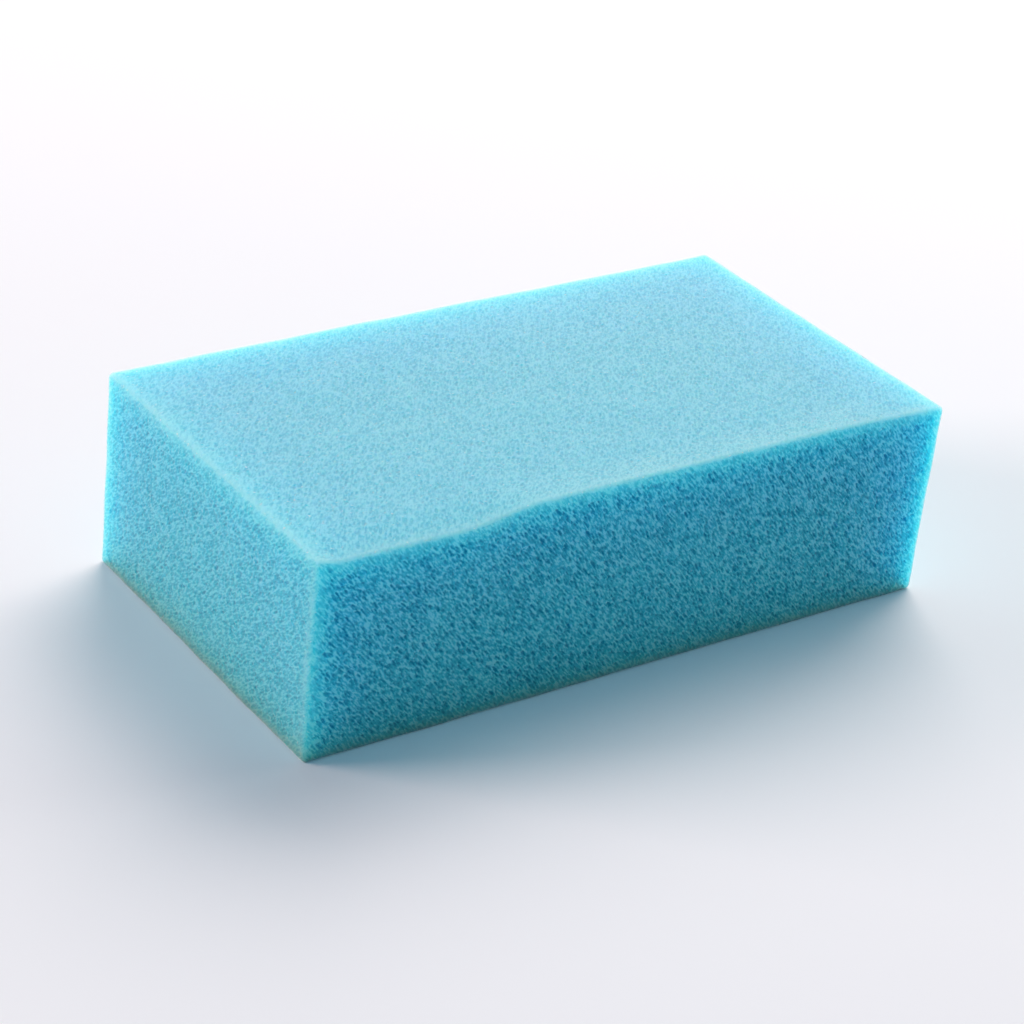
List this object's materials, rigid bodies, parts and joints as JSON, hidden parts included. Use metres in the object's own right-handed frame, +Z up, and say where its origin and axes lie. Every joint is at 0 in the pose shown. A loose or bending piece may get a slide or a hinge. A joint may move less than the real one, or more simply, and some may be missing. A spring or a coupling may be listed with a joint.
{
  "type": "filter foam block",
  "caption": "Rectangular block of light-blue open-cell foam with straight-cut faces, used as the sponge of a pond or aquarium filter.",
  "frame": {"origin": "centre of the bottom face, which the block rests on", "axes": "+X along the length, +Y across the width, +Z up through the thickness"},
  "size_m": [0.2, 0.108, 0.058],
  "materials": {
    "foam": "matte"
  },
  "bodies": {
    "root": {"foam_block": "foam"}
  },
  "joints": []
}
